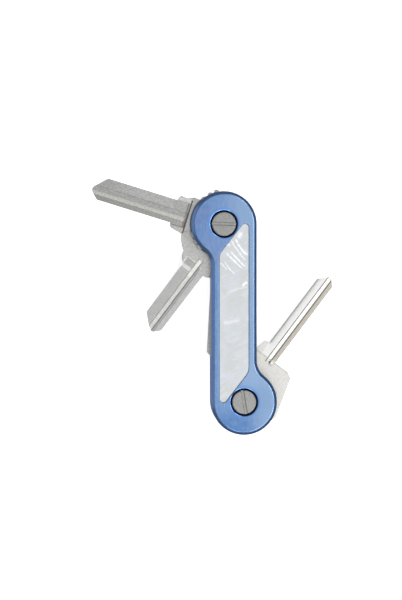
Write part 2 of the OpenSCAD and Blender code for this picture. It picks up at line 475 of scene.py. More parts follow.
@dataclass(frozen=True)
class AnodisedBlue:
    """Satin titanium, anodised blue with a lavender cast where the film is thicker, with painted light and
    shade.
    """

    posts: tuple[Point, Point]
    recess: float
    name: str = "anodised_blue"
    # painted shade to the left and painted light to the right, where the light comes from
    in_shade: Colour = (0.125, 0.245, 0.50)
    pale: Colour = (0.262, 0.385, 0.585)
    lavender: Colour = (0.17, 0.265, 0.49)
    vivid: Colour = (0.12, 0.27, 0.60)
    mottled: Colour = (0.29, 0.37, 0.49)
    # painted shade on the bevels, another tone of it on the left bevels, painted shade on the upright walls
    # and a painted highlight beside the inlay
    edge: Colour = (0.07, 0.15, 0.34)
    left_bevel_shade: Colour = (0.125, 0.22, 0.45)
    wall: Colour = (0.03, 0.05, 0.10)
    painted_highlight: Colour = (0.21, 0.37, 0.60)
    shadowed: Colour = (0.004, 0.006, 0.02)
    # heights of the rear plate's inner face, which gets painted shade
    shaded_inner_face: Point = (2.4, 3.0)
    roughness: float = 0.25
    # patches of painted shade over the lower lobe, deepest at its foot, of painted light at its upper right,
    # and of painted shade at the left of the upper lobe
    light_and_shade_spots: tuple[tuple[float, float, float, Colour], ...] = (
        (3.9, -34.4, 16.0, (0.18, 0.30, 0.51)),
        (0.5, -46.0, 13.0, (0.06, 0.17, 0.43)),
        (7.5, -24.0, 8.0, (0.27, 0.395, 0.61)),
        (-16.0, 38.0, 9.0, (0.14, 0.215, 0.44)),
    )

    def material(self) -> bpy.types.Material:
        """Returns the material."""
        graph = Graph(self.name)
        # painted light and shade: the plates run darker to the left and lighter to the right, the change
        # wavered by noise
        drift = graph.math("MULTIPLY_ADD", graph.noise(0.09, 3.0), 16.0, -8.0)
        side = graph.span(graph.math("ADD", graph.axis("X"), drift), -13.0, 13.0)
        tone = graph.blend(side, self.in_shade, self.pale)
        cast = graph.span(graph.noise(0.07, 2.0), 0.46, 0.66, (0.0, 0.75))
        tone = graph.blend(graph.times(cast, graph.span(side, 0.75, 0.25)), tone, self.lavender)
        # painted light and shade, patch by patch
        for x, y, reach, spot in self.light_and_shade_spots:
            tone = graph.blend(graph.span(graph.from_axis(x, y), reach, 0.3 * reach, (0.0, 0.7)), tone, spot)
        mottle = graph.span(graph.noise(1.1, 5.0, (1.0, 0.5, 1.0)), 0.35, 0.7, (0.0, 0.28))
        tone = graph.blend(mottle, tone, self.mottled)
        away = graph.math("MINIMUM", *(graph.from_axis(x, y) for x, y in self.posts))
        halo = graph.span(away, self.recess + 1.5, self.recess + 0.3, (0.0, 0.65))
        tone = graph.blend(halo, tone, self.vivid)
        # painted highlight along the bar beside the inlay, where the pocket's rim catches the light
        tone = graph.blend(self._painted_highlight(graph), tone, self.painted_highlight)
        # painted shade on the sloping bevels, in another tone on the left
        tone = graph.blend(graph.slope(0.97, 0.80), tone, graph.blend(side, self.left_bevel_shade, self.edge))
        # painted shade on the upright walls
        tone = graph.blend(graph.slope(0.77, 0.71), tone, self.wall)
        # painted shade on the rear plate's inner face, between the plates
        low, high = self.shaded_inner_face
        height = graph.axis("Z")
        inside = graph.times(graph.span(height, low, low + 0.1), graph.span(height, high, high - 0.1), 0.8)
        tone = graph.blend(inside, tone, self.wall)
        dark = graph.span(away, self.recess + 0.05, self.recess + 0.01)
        tone = graph.blend(dark, tone, self.shadowed)
        grain = graph.noise(9.0, 3.0)
        brushed = graph.noise(2.6, 3.0, (2.0, 0.05, 1.0))
        graph.surface(
            base_color=graph.shaded(tone, graph.span(brushed, 0.3, 0.7, (0.945, 1.055))),
            metallic=1.0,
            roughness=graph.span(grain, 0.2, 0.8, (self.roughness - 0.05, self.roughness + 0.08)),
            normal=graph.bump(brushed, 0.0010, graph.bump(grain, 0.0020)),
        )
        return graph.material

    @staticmethod
    def _painted_highlight(graph: Graph) -> Socket:
        """Returns the strength of the painted highlight along the bar, beside the inlay."""
        across = graph.times(graph.span(graph.axis("X"), -6.6, -6.1), graph.span(graph.axis("X"), -5.2, -5.6))
        top = graph.span(graph.axis("Y"), 19.0, 16.0, (0.0, 0.4))
        bottom = graph.span(graph.axis("Y"), -34.0, -28.0)
        return graph.times(across, top, bottom)


@dataclass(frozen=True)
class Streak:
    """One bright growth line in the pearl, in millimetres.

    x and y are its middle, reach is half its length and width half its width. Strength runs from 0 to 1, lean
    is its direction in degrees, and bow is how far its ends bend off the straight.
    """

    x: float
    y: float
    reach: float
    width: float
    strength: float
    lean: float
    bow: float = 0.0


@dataclass(frozen=True)
class MotherOfPearl:
    """Polished shell: cool grey with cloudy white depths, faint lilac and green, and bright growth lines."""

    name: str = "mother_of_pearl"
    base: Colour = (0.54, 0.56, 0.565)
    cloud: Colour = (0.575, 0.61, 0.65)
    bright: Colour = (0.97, 0.98, 1.0)
    glow: Colour = (0.66, 0.69, 0.78)
    lilac: Colour = (0.575, 0.58, 0.69)
    green: Colour = (0.55, 0.62, 0.57)
    rim: Colour = (0.20, 0.17, 0.15)
    streaks: tuple[Streak, ...] = (
        Streak(2.5, 25.3, 4.8, 0.63, 1.0, -54, 0.6),
        Streak(1.4, 24.1, 5.4, 0.48, 0.85, -54, 0.4),
        Streak(0.0, 20.1, 5.0, 0.54, 1.0, -45, 0.4),
        Streak(1.4, 20.7, 4.6, 0.54, 1.0, -45, 0.3),
        Streak(-2.0, 17.5, 3.6, 0.45, 0.8, -52, 0.2),
        Streak(-4.0, 18.1, 2.0, 0.45, 0.7, -44),
        Streak(2.2, 30.1, 1.5, 1.35, 0.75, 60),
        Streak(4.0, 11.2, 1.5, 0.90, 0.9, 45),
        Streak(-2.2, 26.3, 1.1, 0.90, 0.5, -30),
        Streak(1.0, 9.2, 5.0, 0.75, 0.35, 18, -0.6),
        Streak(-1.0, -3.4, 4.0, 1.35, 0.4, 12, 0.5),
    )

    def material(self) -> bpy.types.Material:
        """Returns the material."""
        graph = Graph(self.name)
        drift = graph.noise(0.13, 4.0, (1.0, 0.75, 1.0), turn=25.0, distortion=0.8)
        layers = graph.noise(0.42, 5.0, (0.4, 1.0, 1.0), turn=-24.0, distortion=0.9)
        tone = graph.blend(graph.span(drift, 0.42, 0.66), self.base, self.cloud)
        tone = graph.blend(graph.span(layers, 0.48, 0.66, (0.0, 0.8)), tone, self.cloud)
        tints = graph.noise(0.24, 3.0, turn=40.0, distortion=0.5)
        tone = graph.blend(graph.span(tints, 0.55, 0.75, (0.0, 0.45)), tone, self.lilac)
        tone = graph.blend(graph.span(tints, 0.42, 0.30, (0.0, 0.22)), tone, self.green)
        depths = graph.noise(0.22, 2.0, (0.6, 1.0, 1.0), turn=-24.0, distortion=0.7)
        tone = graph.blend(graph.span(depths, 0.60, 0.80, (0.0, 0.6)), tone, self.glow)
        tone = graph.blend(self._streaks(graph), tone, self.bright)
        tone = graph.blend(graph.slope(0.96, 0.85), tone, self.rim)
        relief = graph.noise(1.1, 3.0, (1.0, 0.4, 1.0), turn=-60.0)
        graph.surface(
            base_color=tone,
            roughness=graph.span(layers, 0.3, 0.7, (0.16, 0.30)),
            coat_weight=0.35,
            coat_roughness=0.06,
            normal=graph.bump(relief, 0.0015),
        )
        return graph.material

    def _streaks(self, graph: Graph) -> Socket:
        """Returns the strength of the growth lines, bent a little by noise."""
        bend = graph.math("MULTIPLY_ADD", graph.noise(0.35, 2.0), 0.9, -0.45)
        ragged = graph.span(graph.noise(1.1, 3.0), 0.36, 0.56, (0.45, 1.0))
        total: object = 0.0
        for streak in self.streaks:
            centre = Matrix.Rotation(math.radians(-streak.lean), 2) @ Vector((streak.x, streak.y))
            place = graph.add("ShaderNodeSeparateXYZ", {0: graph.place(turn=-streak.lean)})
            along = graph.math("SUBTRACT", place.outputs["X"], centre.x)
            share = graph.times(along, along, streak.bow / streak.reach**2)
            across = graph.math("SUBTRACT", graph.math("ADD", place.outputs["Y"], bend), centre.y)
            beside = graph.math("ABSOLUTE", graph.math("SUBTRACT", across, share))
            line = graph.span(beside, streak.width, 0.0, (0.0, 0.9 * streak.strength))
            ends = graph.span(graph.math("ABSOLUTE", along), streak.reach, streak.reach * 0.6)
            total = graph.math("MAXIMUM", total, graph.times(line, ends))
        return graph.times(total, ragged)


@dataclass(frozen=True)
class SatinSteel:
    """Bead-blasted steel of the screws and posts."""

    name: str = "satin_steel"
    light: Colour = (0.36, 0.36, 0.35)
    dark: Colour = (0.29, 0.29, 0.285)

    def material(self) -> bpy.types.Material:
        """Returns the material."""
        graph = Graph(self.name)
        patch = graph.span(graph.noise(1.2, 4.0), 0.35, 0.68)
        grain = graph.noise(11.0, 2.0)
        graph.surface(
            base_color=graph.blend(patch, self.dark, self.light),
            metallic=1.0,
            roughness=graph.span(grain, 0.2, 0.8, (0.34, 0.50)),
            normal=graph.bump(grain, 0.0035),
        )
        return graph.material


@dataclass(frozen=True)
class SatinBrass:
    """Plain brass of the washers and spacers, a little tarnished."""

    name: str = "satin_brass"
    bright: Colour = (0.62, 0.46, 0.20)
    tarnish: Colour = (0.34, 0.23, 0.10)

    def material(self) -> bpy.types.Material:
        """Returns the material."""
        graph = Graph(self.name)
        stain = graph.span(graph.noise(0.7, 4.0), 0.48, 0.75, (0.0, 0.7))
        turning = graph.noise(2.0, 2.0, (0.3, 0.3, 9.0))
        graph.surface(
            base_color=graph.blend(stain, self.bright, self.tarnish),
            metallic=1.0,
            roughness=graph.span(stain, 0.0, 0.7, (0.28, 0.46)),
            normal=graph.bump(turning, 0.003),
        )
        return graph.material


class Milling(Enum):
    """Which tool marks a key's blade carries."""

    FINE = "fine"
    RIDGED = "ridged"


@dataclass(frozen=True)
class Band:
    """A patch of a key's upper side painted in a tone, in some patches painted light or shade, given by its
    limits along and across the key.
    """

    start: float
    end: float
    low: float
    high: float
    tone: Colour
    soft: float = 0.1
    strength: float = 1.0


@dataclass(frozen=True)
class NickelSilver:
    """Nickel-plated key blank: rolled grain, lengthwise draw marks and the tool's marks on the blade, with
    painted light and shade in some bands and on steep faces.
    """

    name: str
    tone: Colour
    milling: Milling
    bands: tuple[Band, ...]
    ridges: tuple[Band, ...] = ()
    contrast: float = 0.10
    # painted shade on the key's steep faces
    edge: Colour = (0.30, 0.30, 0.29)
    shade_ring: float = 0.0
    shade_radius: float = 12.7
    shadow: Colour = (0.02, 0.02, 0.02)
    ridge_pitch: float = 0.84
    ridge_height: float = 0.012
    ridge_dark: float = 0.6
    ridge_tone: Colour = (0.18, 0.18, 0.18)
    upper_side: float = 0.82

    def _mask(self, graph: Graph, band: Band) -> Socket:
        """Returns 1 inside a band on the upper side and 0 elsewhere, with soft edges."""
        place = graph.add("ShaderNodeSeparateXYZ", {0: graph.place()})
        total = graph.span(place.outputs["Z"], self.upper_side - 0.03, self.upper_side, (0.0, band.strength))
        for axis, low, high in (("X", band.start, band.end), ("Y", band.low, band.high)):
            along, soft = place.outputs[axis], band.soft
            total = graph.times(total, graph.span(along, low - soft, low + soft))
            total = graph.times(total, graph.span(along, high + soft, high - soft))
        return total

    def _ring_shadow(self, graph: Graph) -> Socket:
        """Returns the strength of the painted shadow that the plates' edge casts on the key, as a ring round
        the post.
        """
        ring = graph.math("ABSOLUTE", graph.math("SUBTRACT", graph.from_axis(0.0, 0.0), self.shade_radius))
        beside = graph.span(graph.math("ABSOLUTE", graph.axis("Y")), 7.2, 6.2, (0.0, self.shade_ring))
        return graph.times(graph.span(ring, 0.6, 0.2), beside)

    def _ridges(self, graph: Graph) -> Socket:
        """Returns the height of the cutter's ridges across the blade, from 0 to 1."""
        wave = graph.math("SINE", graph.math("MULTIPLY", graph.axis("X"), math.tau / self.ridge_pitch))
        ridge = graph.math("MULTIPLY_ADD", wave, 0.5, 0.5)
        mask: object = 0.0
        for band in self.ridges:
            mask = graph.math("MAXIMUM", mask, self._mask(graph, band))
        return graph.times(ridge, mask)

    def material(self) -> bpy.types.Material:
        """Returns the material."""
        graph = Graph(self.name)
        patch = graph.span(graph.noise(1.6, 4.0), 0.30, 0.70)
        drawn = graph.noise(2.2, 3.0, (0.12, 1.6, 1.0))
        grain = graph.noise(4.5, 3.0)
        tone = self.tone
        for band in self.bands:
            tone = graph.blend(self._mask(graph, band), tone, band.tone)
        # painted shade on the steep edges and walls
        tone = graph.blend(graph.slope(0.90, 0.75), tone, self.edge)
        if self.shade_ring:
            tone = graph.blend(self._ring_shadow(graph), tone, self.shadow)
        relief = graph.bump(drawn, 0.0025, graph.bump(grain, 0.0035))
        if self.milling is Milling.RIDGED:
            ridge = self._ridges(graph)
            tone = graph.blend(graph.times(ridge, self.ridge_dark), tone, self.ridge_tone)
            relief = graph.bump(ridge, self.ridge_height, relief)
        uneven = graph.math("ADD", graph.times(patch, 0.5), graph.times(drawn, 0.5))
        shade = graph.span(uneven, 0.25, 0.75, (1.0 - self.contrast, 1.0 + self.contrast))
        graph.surface(
            base_color=graph.shaded(tone, shade),
            metallic=1.0,
            roughness=graph.span(grain, 0.2, 0.8, (0.28, 0.42)),
            normal=relief,
        )
        return graph.material


@dataclass(frozen=True)
class PaleFloor:
    """Matt white studio floor."""

    name: str = "pale_floor"
    white: Colour = (0.93, 0.93, 0.93)
    shade: Colour = (0.91, 0.91, 0.915)
    glow: float = 0.62

    def material(self) -> bpy.types.Material:
        """Returns the material."""
        graph = Graph(self.name)
        soft = graph.span(graph.noise(0.01, 2.0), 0.3, 0.7)
        graph.surface(
            base_color=graph.blend(soft, self.white, self.shade),
            roughness=0.9,
            specular_ior_level=0.1,
            emission_color=(1.0, 1.0, 1.0),
            emission_strength=self.glow,
        )
        return graph.material


# ---------------------------------------------------------------- pieces


@dataclass
class Stack:
    """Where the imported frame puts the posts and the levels, in millimetres."""

    upper: Point
    lower: Point

    @classmethod
    def from_frame(cls) -> "Stack":
        """Reads the post axes from the joints."""
        places = {joint["child"]: joint["pos_m"] for joint in frame["joints"]}
        upper = places["key_upper"]
        lower = places["key_right"]
        return cls((upper[0] / MM, upper[1] / MM), (lower[0] / MM, lower[1] / MM))

    @staticmethod
    def levels(node: str) -> Point:
        """Returns the lowest and highest point of a node, in millimetres."""
        low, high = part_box(node)
        return low.z / MM, high.z / MM


def into_frame(mesh: Mesh, placing: Matrix | None = None) -> None:
    """Notes each point's place in the piece, which the finishes read, and moves the mesh into the frame."""
    local = mesh.attributes.new(LOCAL, "FLOAT_VECTOR", "POINT")
    local.data.foreach_set("vector", [value for vertex in mesh.vertices for value in vertex.co])
    mesh.transform(Matrix.Scale(MM, 4) @ (placing or Matrix.Identity(4)))


def add_piece(
    mesh: Mesh,
    node: str,
    body: str,
    finish: bpy.types.Material,
    placing: Matrix | None = None,
) -> None:
    """Finishes a mesh and puts it in the scene in place of a node.

    Args:
        mesh: Mesh in millimetres, in the piece's own coordinates.
        node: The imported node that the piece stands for.
        body: The body that the piece moves with.
        finish: The material.
        placing: Where the piece's own coordinates lie in the frame, in millimetres.
    """
    into_frame(mesh, placing)
    mesh.name = f"{node}_shell"
    mesh.materials.clear()
    mesh.materials.append(finish)
    for face in mesh.polygons:
        face.use_smooth = abs(face.normal.z) < LEVEL
    mesh.set_sharp_from_angle(angle=math.radians(CREASE))
    holder = holder_of(mesh)
    weight = holder.modifiers.new("even", "WEIGHTED_NORMAL")
    weight.keep_sharp = True
    finished = evaluated(holder)
    piece = bpy.data.objects.new(f"{node}_shell", finished)
    bpy.context.scene.collection.objects.link(piece)
    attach(piece, body)
    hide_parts(node)
    LOG.info("%s: %d faces on %s", piece.name, len(finished.polygons), body)


@dataclass
class Plates:
    """The front and rear plates and the inlay set in the front one."""

    stack: Stack
    lobe: float = 12.695
    web: float = 7.705
    bevel: float = 1.15
    bevel_rise: float = 0.88
    inner_bevel: float = 0.3
    recess: float = 5.32
    recess_rim: float = 0.28
    recess_dip: float = 0.13
    pocket_rim: float = 0.12
    pocket_dip: float = 0.05
    bore: float = 2.56
    head_depth: float = 1.4
    inlay_width: float = 11.36
    inlay_depth: float = 1.2
    slant: float = 52.4
    slant_wall: float = 0.44
    tip: float = 1.5
    blunt: float = 5.0
    seam: float = 0.08

    def outline(self, inward: float) -> Outline:
        """Returns the S-shaped outline, moved inwards by a distance."""
        half = self.lobe - abs(self.stack.upper[0])
        hollow_x = -half - self.web
        drop = math.sqrt((self.lobe + self.web) ** 2 - (self.stack.upper[0] - hollow_x) ** 2)
        hollow = (hollow_x, self.stack.upper[1] - drop)
        meet = 180 + math.degrees(math.atan2(drop, self.stack.upper[0] - hollow_x))
        side = arc(self.stack.upper, self.lobe - inward, 0, meet, 3.0)
        side += arc(hollow, self.web + inward, meet - 180, 0, 4.0)[1:]
        return with_twin(side)

    def inlay_outline(self, outward: float) -> Outline:
        """Returns the inlay's outline, moved outwards by a distance."""
        lean = math.radians(self.slant)
        out = Vector((-math.sin(lean), math.cos(lean)))
        reach = out.dot(Vector(self.stack.upper)) - self.recess - self.slant_wall
        half = self.inlay_width / 2
        tip_x, blunt_x = half - self.tip, self.blunt - half
        tip_y = (reach - self.tip - out.x * tip_x) / out.y
        blunt_y = (reach - self.blunt - out.x * blunt_x) / out.y
        away = self.slant + 90
        side = arc((tip_x, tip_y), self.tip + outward, 0, away, 9.0)
        side += arc((blunt_x, blunt_y), self.blunt + outward, away, 180, 6.0)
        return with_twin(side)

    def _plate(self, name: str, inner: float, outer: float, inlaid: bool) -> Mesh:
        """Builds one plate.

        Args:
            name: Name of the mesh.
            inner: Height of the face towards the keys.
            outer: Height of the outer face.
            inlaid: Whether the plate has the inlay's pocket.

        Returns:
            The mesh, in millimetres.
        """
        up = math.copysign(1.0, outer - inner)
        shell = Shell()
        edge = softened([
            (self.inner_bevel, inner, 0.0),
            (0.0, inner + up * self.inner_bevel, 0.25),
            (0.0, outer - up * self.bevel_rise, 0.15),
            (self.bevel, outer, 0.75),
            (self.bevel + 0.5, outer, 0.0),
        ])
        inner_edge, outer_edge = shell.sweep(self.outline, edge)
        inner_holes, outer_holes = [], []
        floor = outer - up * self.head_depth
        for post in (self.stack.upper, self.stack.lower):
            rim = softened([
                (self.bore + 0.2, inner, 0.0),
                (self.bore, inner + up * 0.2, 0.1),
                (self.bore, floor, 0.0),
                (self.recess, floor, 0.2),
                (self.recess, outer - up * self.recess_dip, 0.05),
                (self.recess + self.recess_rim, outer, 0.4),
                (self.recess + self.recess_rim + 0.11, outer, 0.0),
            ])
            low, high = shell.sweep(circle_at(post), rim)
            inner_holes.append(low)
            outer_holes.append(high)
        if inlaid:
            pocket = softened([
                (self.seam, outer - up * self.inlay_depth, 0.0),
                (self.seam, outer - up * self.pocket_dip, 0.04),
                (self.seam + self.pocket_rim, outer, 0.4),
                (self.seam + self.pocket_rim + 0.1, outer, 0.0),
            ])
            low, high = shell.sweep(self.inlay_outline, pocket)
            shell.cap(low)
            outer_holes.append(high)
        shell.cap(inner_edge, *inner_holes)
        shell.cap(outer_edge, *outer_holes)
        return shell.mesh(name)

    def build(self) -> dict[str, Mesh]:
        """Returns the meshes of the two plates and the inlay, by node."""
        front = self.stack.levels("front_plate")
        rear = self.stack.levels("rear_plate")
        inlay = self.stack.levels("pearl_inlay")
        shell = Shell()
        edge = softened([
            (-0.1, inlay[0], 0.0),
            (0.0, inlay[0] + 0.1, 0.05),
            (0.0, inlay[1] - 0.14, 0.1),
            (-0.12, inlay[1], 0.1),
            (-0.3, inlay[1], 0.0),
        ])
        low, high = shell.sweep(self.inlay_outline, edge)
        shell.cap(low)
        shell.cap(high)
        return {
            "front_plate": self._plate("front", front[0], front[1], inlaid=True),
            "rear_plate": self._plate("rear", rear[1], rear[0], inlaid=False),
            "pearl_inlay": shell.mesh("inlay"),
        }

    def dress(self, meshes: dict[str, Mesh]) -> None:
        """Gives the plates and the inlay their finishes and puts them in the scene."""
        blue = AnodisedBlue((self.stack.upper, self.stack.lower), self.recess).material()
        add_piece(meshes["front_plate"], "front_plate", "root", blue)
        add_piece(meshes["rear_plate"], "rear_plate", "root", blue)
        add_piece(meshes["pearl_inlay"], "pearl_inlay", "root", MotherOfPearl().material())


@dataclass
class Fastenings:
    """Screws, posts, washers and spacers on the two post axes."""

    stack: Stack
    head: float = 4.63
    head_thickness: float = 1.4
    rim: float = 0.32
    slot_width: float = 1.3
    slot_depth: float = 0.5
    slot_lean: float = 0.2
    post: float = 2.5
    hole: float = 2.56
    bore: float = 1.55
    bore_depth: float = 9.0
    thread: float = 1.5
    thread_pitch: float = 0.5
    thread_depth: float = 0.2
    washer_edge: float = 0.06
    spacer_edge: float = 0.25
    upper_slot: float = -2.0
    lower_slot: float = 100.0

    def _slotted(self, mesh: Mesh, turn: float) -> Mesh:
        """Cuts a slot right across a head whose face is at height 0."""
        half, side, floor, clear = self.head + 0.5, self.slot_width / 2, -self.slot_depth, 0.4
        foot = side - self.slot_lean
        section = ((-side, clear), (-side, 0.0), (-foot, floor), (foot, floor), (side, 0.0), (side, clear))
        shell = Shell()
        shell.loft([[(x, y, z) for y, z in section] for x in (-half, half)])
        cutter = shell.mesh("slot")
        cutter.transform(Matrix.Rotation(math.radians(turn), 4, "Z"))
        return carved(mesh, [cutter])

    def _head_side(self) -> list[Corner]:
        """Returns the profile of a head, from under its edge up to its face at height 0."""
        return [
            (self.head - 0.2, -self.head_thickness, 0.0),
            (self.head, -self.head_thickness + 0.2, 0.1),
            (self.head, -0.22, 0.12),
            (self.head - self.rim, 0.0, 0.15),
            (self.head - self.rim - 0.3, 0.0, 0.0),
        ]

    def _thread(self, top: float, bottom: float) -> list[Corner]:
        """Returns a profile of thread ridges from one depth down to another."""
        profile: list[Corner] = []
        height = top
        while height - self.thread_pitch > bottom:
            profile.append((self.thread, height, 0.0))
            profile.append((self.thread - self.thread_depth, height - self.thread_pitch / 2, 0.0))
            height -= self.thread_pitch
        return profile

    def screw(self, length: float, turn: float) -> Mesh:
        """Builds a screw with the face of its head at height 0.

        Args:
            length: Whole length in millimetres.
            turn: Direction of the slot in degrees.

        Returns:
            The mesh, in millimetres.
        """
        profile = [
            (0.9, -length, 0.0),
            (self.thread - self.thread_depth, -length + 0.4, 0.0),
            *reversed(self._thread(-self.head_thickness - 0.9, -length + 0.4)),
            (self.thread, -self.head_thickness, 0.0),
            *self._head_side(),
        ]
        return self._slotted(turned("screw", profile, closed=False), turn)

    def barrel(self, length: float, turn: float) -> Mesh:
        """Builds a post with the face of its head at height 0 and its bore opening below.

        Args:
            length: Whole length in millimetres.
            turn: Direction of the slot in degrees.

        Returns:
            The mesh, in millimetres.
        """
        profile = [
            (self.bore, -length + self.bore_depth, 0.0),
            (self.bore, -length + 0.25, 0.0),
            (self.bore + 0.25, -length, 0.1),
            (self.post - 0.25, -length, 0.1),
            (self.post, -length + 0.25, 0.1),
            (self.post, -self.head_thickness, 0.15),
            *self._head_side(),
        ]
        return self._slotted(turned("barrel", profile, closed=False), turn)

    def ring(self, outer: float, height: float, edge: float) -> Mesh:
        """Builds a washer or spacer that stands on height 0."""
        hole = self.hole
        profile = [
            (hole + edge, 0.0, 0.0),
            (outer - edge, 0.0, 0.0),
            (outer, edge, edge / 2),
            (outer, height - edge, edge / 2),
            (outer - edge, height, 0.0),
            (hole + edge, height, 0.0),
            (hole, height - edge, 0.0),
            (hole, edge, 0.0),
        ]
        return turned("ring", profile, closed=True, step=5.0)

    def dress(self) -> None:
        """Builds every fastening and puts it on its post."""
        steel = SatinSteel().material()
        brass = SatinBrass().material()
        flip = Matrix.Rotation(math.pi, 4, "X")
        for side, (x, y), turn, rear_turn in (
            ("upper", self.stack.upper, self.upper_slot, self.lower_slot),
            ("lower", self.stack.lower, self.lower_slot, self.upper_slot),
        ):
            low, high = self.stack.levels(f"{side}_screw")
            placing = Matrix.Translation((x, y, high))
            add_piece(self.screw(high - low, turn), f"{side}_screw", "root", steel, placing)
            low, high = self.stack.levels(f"{side}_post")
            placing = Matrix.Translation((x, y, low)) @ flip
            add_piece(self.barrel(high - low, -rear_turn), f"{side}_post", "root", steel, placing)
            rings = [name for name in frame["nodes"] if name.startswith((f"{side}_washer", f"{side}_spacer"))]
            for name in sorted(rings):
                low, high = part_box(name)
                height = (high.z - low.z) / MM
                outer = (high.x - low.x) / MM / 2
                edge = self.washer_edge if "washer" in name else self.spacer_edge
                placing = Matrix.Translation((x, y, low.z / MM))
                add_piece(self.ring(outer, height, edge), name, "root", brass, placing)


@dataclass(frozen=True)
class Pass:
    """One pass of a milling cutter along a blade.

    It reaches its full depth at start and rises over run_out before that. Its section gives the cutter's
    outline as across and height. A pass from below cuts the lower side.
    """

    start: float
    run_out: float
    section: tuple[Point, ...]
    below: bool = False
    steps: int = 7

    def mesh(self, thickness: float, finish: float) -> Mesh:
        """Returns the space that the cutter sweeps.

        Args:
            thickness: Thickness of the key.
            finish: How far out the pass runs.

        Returns:
            The mesh, in millimetres.
        """
        heights = [height for _, height in self.section]
        depth = max(heights) if self.below else thickness - min(heights)
        wheel = (self.run_out**2 + depth**2) / (2 * depth)
        rings = []
        for step in range(self.steps + 1):
            back = self.run_out * (1 - step / self.steps)
            lift = wheel - math.sqrt(wheel**2 - back**2)
            lift = -lift if self.below else lift
            rings.append([(self.start - back, w, height + lift) for w, height in self.section])
        rings.append([(finish, w, height) for w, height in self.section])
        shell = Shell()
        shell.loft(rings)
        return shell.mesh("pass")


@dataclass(frozen=True)
class Panel:
    """The recessed panel in a bow: how far out along the key it ends and how far across it reaches."""

    end: float
    side: float


@dataclass
class Key:
    """An uncut key on a post. Its own coordinates run along the blade, across it and up, from the post."""

    node: str
    post: Point
    finish: NickelSilver
    blank: Callable[[], Outline]
    passes: tuple[Pass, ...]
    panel: Panel
    tip: Point
    hole: float = 2.56
    edge: float = 0.14
    panel_depth: float = 0.24
    panel_wall: float = 0.2
    boss: float = 5.6
    boss_margin: float = 3.5
    rib_length: float = 2.0
    rib_half: float = 0.28
    rib_pitch: float = 1.3
    rib_margin: float = 1.4
    rib_edge: float = 1.2
    rib_round: float = 0.2
    boss_gap: float = 0.4
    wall_gap: float = 0.3
    hole_chamfer: float = 0.2
    clear: float = 0.4
    overrun: float = 2.0

    def heading(self) -> float:
        """Returns the direction of the blade at rest, in degrees, from the node's own shape."""
        cloud = frame["nodes"][self.node].data.vertices
        post = Vector((self.post[0] * MM, self.post[1] * MM))
        far = max(cloud, key=lambda vertex: (vertex.co.xy - post).length)
        seen = math.atan2(far.co.y - post.y, far.co.x - post.x)
        return math.degrees(seen - math.atan2(self.tip[1], self.tip[0]))

    def _panel_lean(self) -> float:
        """Returns the angle, in radians, at which the panel's sides leave the round boss."""
        return math.asin(min(0.98, self.panel.side / (self.boss + self.boss_margin)))

    def _panel_edge(self, u: float) -> float:
        """Returns how far across the panel reaches at a distance along the key."""
        lean = self._panel_lean()
        start = Vector((self.boss * math.cos(lean), self.boss * math.sin(lean)))
        share = (u - start.x) / (self.panel.end - start.x)
        return start.y + (self.panel.side - start.y) * share

    def _panel(self, floor: float, top: float) -> Mesh:
        """Builds the cutter of the recessed panel, with a row of plain ribs left standing.

        Args:
            floor: Height of the panel.
            top: Height at which the cutter ends, clear of the key.

        Returns:
            The cutter's mesh, in millimetres.
        """
        end, side = self.panel.end, self.panel.side
        reach = math.degrees(self._panel_lean())
        round_boss = arc((0, 0), self.boss, -reach, reach, 6.0)
        corners = [(end, side, 1.0), (end, -side, 1.0)]
        outline = anticlockwise(rounded([*sharp(round_boss), *corners]))
        shell = Shell()
        walls = [shell.sweep(lambda inward: inset(outline, inward), [(self.panel_wall, floor), (0.0, top)])]
        half = self.rib_half
        far = end - self.rib_margin
        start = far - self.rib_length
        count = int((side - self.rib_edge) / self.rib_pitch)
        for step in range(-count, count + 1):
            w = step * self.rib_pitch
            rib = ((start, w - half), (far, w - half), (far, w + half), (start, w + half))
            bar = rounded([(x, y, self.rib_round) for x, y in rib])
            room = self._panel_edge(start) - abs(w) - half
            if math.hypot(start, w) > self.boss + self.boss_gap and room > self.wall_gap:
                wall = [(0.0, floor), (-0.06, top)]
                walls.append(shell.sweep(lambda outward, bar=bar: inset(bar, -outward), wall))
        for ends in zip(*walls):
            shell.cap(*ends)
        return shell.mesh("panel")

    def _bore(self, thick: float) -> Mesh:
        """Returns the cutter of the post hole, chamfered on both sides of a key as thick as given."""
        chamfer = self.hole_chamfer
        mouth = chamfer + 0.3
        profile = [
            (self.hole + mouth, chamfer - mouth, 0.0),
            (self.hole + chamfer, 0.0, 0.0),
            (self.hole, chamfer, 0.0),
            (self.hole, thick - chamfer, 0.0),
            (self.hole + chamfer, thick, 0.0),
            (self.hole + mouth, thick + mouth - chamfer, 0.0),
        ]
        return turned("bore", profile, closed=False)

    def build(self) -> Mesh:
        """Returns the key's mesh, in its own coordinates, in millimetres."""
        low, high = Stack.levels(self.node)
        thick = high - low
        outline = anticlockwise(self.blank())
        shell = Shell()
        # the profile's first and last points only lead the rounding in and out
        edge = softened([
            (self.edge + 0.2, 0.0, 0.0),
            (self.edge, 0.0, 0.1),
            (0.0, self.edge, 0.1),
            (0.0, thick - self.edge, 0.1),
            (self.edge, thick, 0.1),
            (self.edge + 0.2, thick, 0.0),
        ])[1:-1]
        rims = shell.sweep(lambda inward: inset(outline, inward), edge)
        for rim in rims:
            shell.cap(rim)
        upper_panel = self._panel(thick - self.panel_depth, thick + self.clear)
        lower_panel = self._panel(self.panel_depth, -self.clear)
        cutters = [self._bore(thick), upper_panel, lower_panel]
        finish = max(point[0] for point in outline) + self.overrun
        cutters += [each.mesh(thick, finish) for each in self.passes]
        return carved(shell.mesh(self.node), cutters)

    def dress(self) -> None:
        """Builds the key, gives it its finish and puts it on its post at rest."""
        low = Stack.levels(self.node)[0]
        heading = Matrix.Rotation(math.radians(self.heading()), 4, "Z")
        placing = Matrix.Translation((*self.post, low)) @ heading
        add_piece(self.build(), self.node, self.node, self.finish.material(), placing)


